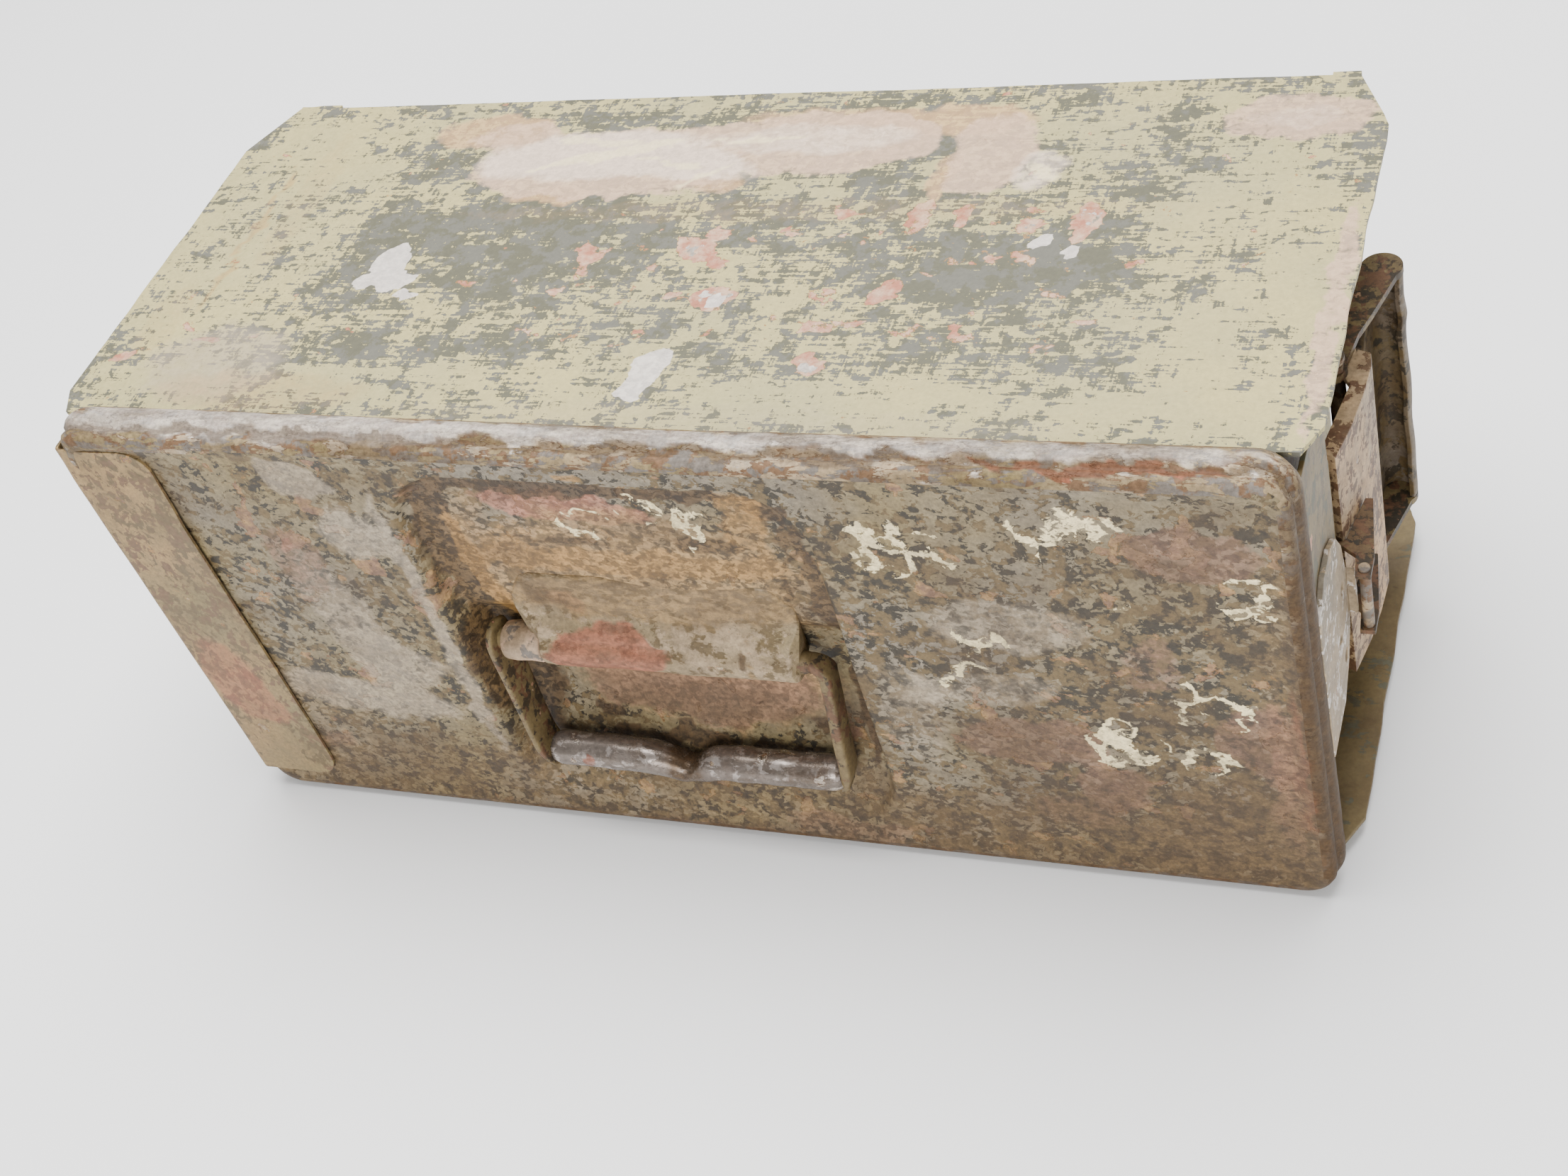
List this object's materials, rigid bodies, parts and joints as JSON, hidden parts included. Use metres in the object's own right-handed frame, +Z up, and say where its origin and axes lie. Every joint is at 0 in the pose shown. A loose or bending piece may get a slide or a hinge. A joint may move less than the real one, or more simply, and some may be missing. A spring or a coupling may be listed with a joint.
{
  "type": "metal tool box",
  "caption": "Pressed steel tool box lying on its side, with a hinged lid, a folding carrying handle in a recessed pan, and a lever latch at the end.",
  "frame": {"origin": "centre of the underside of the whole box as it lies on one side plate, at the height of the lid's lower rim", "axes": "+X along the lid from the hinge end to the latch end, +Y from the lid's face into the box, +Z up, square to the side plates"},
  "size_m": [0.391, 0.1807, 0.1716],
  "materials": {
    "side_plate_lower": "worn olive paint over red primer",
    "side_plate_upper": "worn sage paint, chipped to grey-green and primer",
    "end_and_bottom_wrap": "worn olive paint with rust",
    "mouth_neck": "worn olive paint with rust",
    "hinge_leaf_body": "worn paint and rust",
    "hinge_pin": "rusted steel",
    "latch_bracket": "worn paint and rust",
    "lever_pivot_rivets": "rusted steel",
    "lid_shell": "chipped grey-green paint, primer and bare steel",
    "lid_seal": "aged black rubber",
    "hinge_leaf_lid": "brownish worn paint, primer spots",
    "handle_barrel_strap": "red primer and worn olive paint",
    "end_apron": "worn olive paint",
    "hasp_plate": "bare light steel, stained",
    "handle_arm_left": "brown worn paint",
    "handle_arm_right": "brown worn paint",
    "handle_pivot_rod": "rusted steel",
    "handle_collar": "red primer, chipped",
    "handle_grip": "dark worn steel, polished by hands",
    "lever_arm_upper": "olive-brown worn paint",
    "lever_arm_lower": "olive-brown worn paint",
    "lever_grip": "dark brown worn paint",
    "link_pin": "rusted steel",
    "latch_link_plate": "rusty brown steel with tan paint remains",
    "link_lugs": "rusty brown steel",
    "hook_cross_pin": "rusted steel"
  },
  "bodies": {
    "box": {"side_plate_lower": "side_plate_lower", "side_plate_upper": "side_plate_upper", "end_and_bottom_wrap": "end_and_bottom_wrap", "mouth_neck": "mouth_neck", "hinge_leaf_body": "hinge_leaf_body", "hinge_pin": "hinge_pin", "latch_bracket": "latch_bracket", "lever_pivot_rivets": "lever_pivot_rivets"},
    "lid": {"lid_shell": "lid_shell", "lid_seal": "lid_seal", "hinge_leaf_lid": "hinge_leaf_lid", "handle_barrel_strap": "handle_barrel_strap", "end_apron": "end_apron", "hasp_plate": "hasp_plate"},
    "carry_handle": {"handle_arm_left": "handle_arm_left", "handle_arm_right": "handle_arm_right", "handle_pivot_rod": "handle_pivot_rod", "handle_collar": "handle_collar", "handle_grip": "handle_grip"},
    "latch_lever": {"lever_arm_upper": "lever_arm_upper", "lever_arm_lower": "lever_arm_lower", "lever_grip": "lever_grip", "link_pin": "link_pin"},
    "latch_link": {"latch_link_plate": "latch_link_plate", "link_lugs": "link_lugs", "hook_cross_pin": "hook_cross_pin"}
  },
  "joints": [
    {"name": "lid_hinge", "type": "hinge", "parent": "box", "child": "lid", "pos_m": [-0.19025, -0.06505, 0.086], "axis": [0, 0, -1], "range_deg": [0, 120]},
    {"name": "carry_handle_hinge", "type": "hinge", "parent": "lid", "child": "carry_handle", "pos_m": [-0.01005, -0.07585, 0.0835], "axis": [-1, 0, 0], "range_deg": [0, 105]},
    {"name": "latch_lever_hinge", "type": "hinge", "parent": "box", "child": "latch_lever", "pos_m": [0.17995, 0.00495, 0.083], "axis": [0, 0, -1], "range_deg": [0, 95]},
    {"name": "latch_link_hinge", "type": "hinge", "parent": "latch_lever", "child": "latch_link", "pos_m": [0.17795, 0.02495, 0.083], "axis": [0, 0, 1], "range_deg": [0, 95]}
  ],
  "couplings": [
    {"joint": "latch_link_hinge", "follows": "latch_lever_hinge", "ratio": 1}
  ]
}
